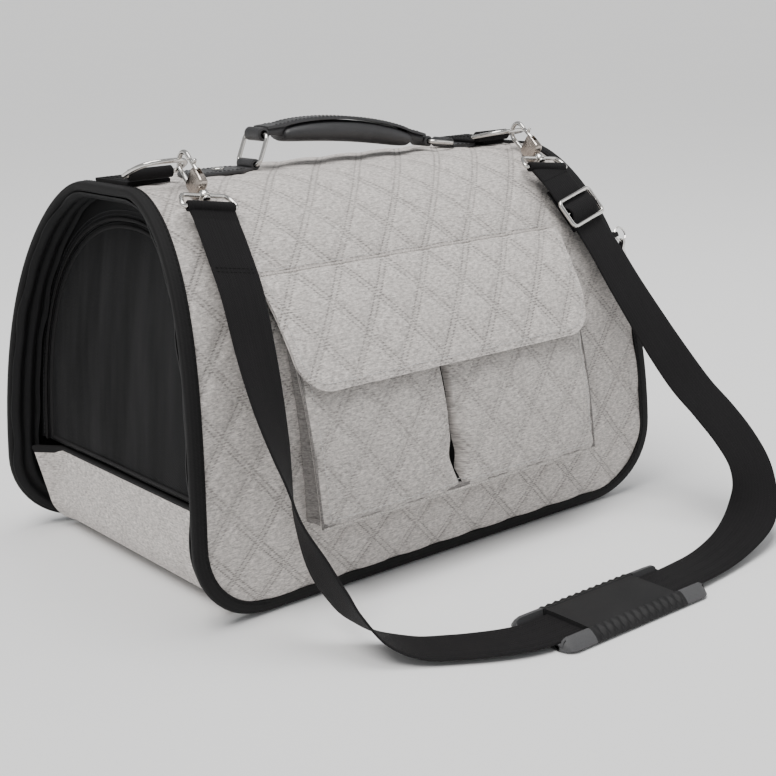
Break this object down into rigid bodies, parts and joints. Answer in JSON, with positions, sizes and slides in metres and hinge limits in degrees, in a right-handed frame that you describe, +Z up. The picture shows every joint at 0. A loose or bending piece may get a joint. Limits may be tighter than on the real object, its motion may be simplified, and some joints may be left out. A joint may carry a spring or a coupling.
{
  "type": "pet carrier bag",
  "caption": "Soft domed pet carrier of quilted felt with mesh end doors, a flap pocket, a leather carry handle and a clip-on shoulder strap with pad.",
  "frame": {"origin": "middle of the underside of the base, on the floor", "axes": "+X along the length of the bag to the viewer's right when the pocket faces the viewer, -Y out through the pocket side, +Z up"},
  "size_m": [0.4594, 0.4838, 0.3316],
  "materials": {
    "felt": "matte melange felt",
    "edge_tape": "ribbed tape",
    "nylon": "plain woven",
    "mesh_cloth": "open mesh",
    "leather": "satin grain",
    "webbing": "woven webbing",
    "nickel": "polished",
    "pad_rubber": "satin"
  },
  "bodies": {
    "bag": {"shell_wrap": "felt", "edge_binding": "edge_tape", "base_shell": "felt", "gusset_left": "nylon", "gusset_right": "nylon", "end_frame_left": "nylon", "end_frame_right": "nylon", "zip_track_left": "edge_tape", "zip_track_right": "edge_tape", "zip_slider_left": "nickel", "zip_slider_right": "nickel", "floor_mat": "felt", "front_pocket": "felt", "handle_tab_left": "leather", "handle_tab_right": "leather", "handle_rivet_left": "nickel", "strap_tab_left": "webbing", "strap_tab_right": "webbing", "strap_slider": "nickel", "strap_webbing": "webbing", "strap_return": "webbing", "lock_loop_right": "edge_tape", "lock_ring_right": "nickel"},
    "flap": {"pocket_flap": "felt"},
    "handle": {"handle_strap": "leather", "handle_grip": "leather"},
    "handle_ring_l": {"handle_ring_left": "nickel"},
    "handle_ring_r": {"handle_ring_right": "nickel"},
    "pad": {"shoulder_pad": "pad_rubber"},
    "lock_clip": {"lock_clip_right": "nickel"},
    "door_left": {"end_door_left": "mesh_cloth"},
    "zip_pull_left": {"zip_pull_left": "nickel"},
    "door_right": {"end_door_right": "mesh_cloth"},
    "zip_pull_right": {"zip_pull_right": "nickel"},
    "strap_ring_left": {"strap_ring_left": "nickel"},
    "hook_left": {"hook_body_left": "nickel"},
    "gate_left": {"hook_gate_left": "nickel"},
    "eye_left": {"hook_eye_left": "nickel"},
    "strap_ring_right": {"strap_ring_right": "nickel"},
    "hook_right": {"hook_body_right": "nickel"},
    "gate_right": {"hook_gate_right": "nickel"},
    "eye_right": {"hook_eye_right": "nickel"}
  },
  "joints": [
    {"name": "flap_lift", "type": "hinge", "parent": "bag", "child": "flap", "pos_m": [0, -0.11428, 0.23508], "axis": [1, 0, 0], "range_deg": [-105, 0]},
    {"name": "door_left", "type": "hinge", "parent": "bag", "child": "door_left", "pos_m": [-0.2008, 0, 0.0768], "axis": [0, -1, 0], "range_deg": [0, 88]},
    {"name": "zip_pull_left", "type": "hinge", "parent": "bag", "child": "zip_pull_left", "pos_m": [-0.20175, -0.12446, 0.14556], "axis": [0, 1, 0], "range_deg": [0, 110]},
    {"name": "door_right", "type": "hinge", "parent": "bag", "child": "door_right", "pos_m": [0.2008, 0, 0.0768], "axis": [0, 1, 0], "range_deg": [0, 88]},
    {"name": "zip_pull_right", "type": "hinge", "parent": "bag", "child": "zip_pull_right", "pos_m": [0.20175, -0.12446, 0.14556], "axis": [0, -1, 0], "range_deg": [0, 110]},
    {"name": "handle_lift", "type": "hinge", "parent": "bag", "child": "handle_ring_r", "pos_m": [0.127, 0, 0.3002], "axis": [0, 1, 0], "range_deg": [0, 22]},
    {"name": "handle_turn", "type": "hinge", "parent": "handle_ring_r", "child": "handle", "pos_m": [0.10323, 0, 0.30354], "axis": [0, 1, 0], "range_deg": [-26, 0.5]},
    {"name": "handle_follow", "type": "hinge", "parent": "bag", "child": "handle_ring_l", "pos_m": [-0.072, 0, 0.3002], "axis": [0, 1, 0], "range_deg": [-0.5, 6]},
    {"name": "strap_ring_left", "type": "hinge", "parent": "bag", "child": "strap_ring_left", "pos_m": [-0.1695, -0.02, 0.3038], "axis": [-1, 0, 0], "range_deg": [0, 40], "deforming": ["strap_webbing", "strap_return"]},
    {"name": "hook_swing_left", "type": "hinge", "parent": "strap_ring_left", "child": "hook_left", "pos_m": [-0.156, -0.04358, 0.31333], "axis": [-1, 0, 0], "range_deg": [0, 25], "deforming": ["strap_webbing", "strap_return"]},
    {"name": "hook_swivel_left", "type": "hinge", "parent": "hook_left", "child": "eye_left", "pos_m": [-0.15908, -0.07474, 0.29109], "axis": [-0.0801, -0.8114, -0.579], "range_deg": [-15, 20], "deforming": ["strap_webbing", "strap_return"]},
    {"name": "hook_gate_left", "type": "slide", "parent": "hook_left", "child": "gate_left", "axis": [-0.0801, -0.8114, -0.579], "range_m": [0, 0.0045], "stiffness_N_per_m": 150, "springref_m": -0.004},
    {"name": "strap_ring_right", "type": "hinge", "parent": "bag", "child": "strap_ring_right", "pos_m": [0.1655, -0.02, 0.3038], "axis": [-1, 0, 0], "range_deg": [0, 40], "deforming": ["strap_webbing", "strap_return"]},
    {"name": "hook_swing_right", "type": "hinge", "parent": "strap_ring_right", "child": "hook_right", "pos_m": [0.1693, -0.04696, 0.30904], "axis": [-1, 0, 0], "range_deg": [0, 25], "deforming": ["strap_webbing", "strap_return"]},
    {"name": "hook_swivel_right", "type": "hinge", "parent": "hook_right", "child": "eye_right", "pos_m": [0.16507, -0.07877, 0.28795], "axis": [-0.1101, -0.8284, -0.5493], "range_deg": [-20, 20], "deforming": ["strap_webbing", "strap_return"]},
    {"name": "hook_gate_right", "type": "slide", "parent": "hook_right", "child": "gate_right", "axis": [-0.1101, -0.8284, -0.5493], "range_m": [0, 0.0045], "stiffness_N_per_m": 150, "springref_m": -0.004},
    {"name": "pad_slide", "type": "slide", "parent": "bag", "child": "pad", "axis": [1, 0, 0], "range_m": [-0.006, 0.006], "deforming": ["strap_webbing", "strap_return"]},
    {"name": "lock_clip", "type": "hinge", "parent": "bag", "child": "lock_clip", "pos_m": [0.22391, -0.11878, 0.21546], "axis": [-1, 0, 0], "range_deg": [-60, 60]}
  ],
  "couplings": [
    {"joint": "handle_turn", "follows": "handle_lift", "ratio": -1.152},
    {"joint": "handle_follow", "follows": "handle_lift", "ratio": 0.224}
  ]
}
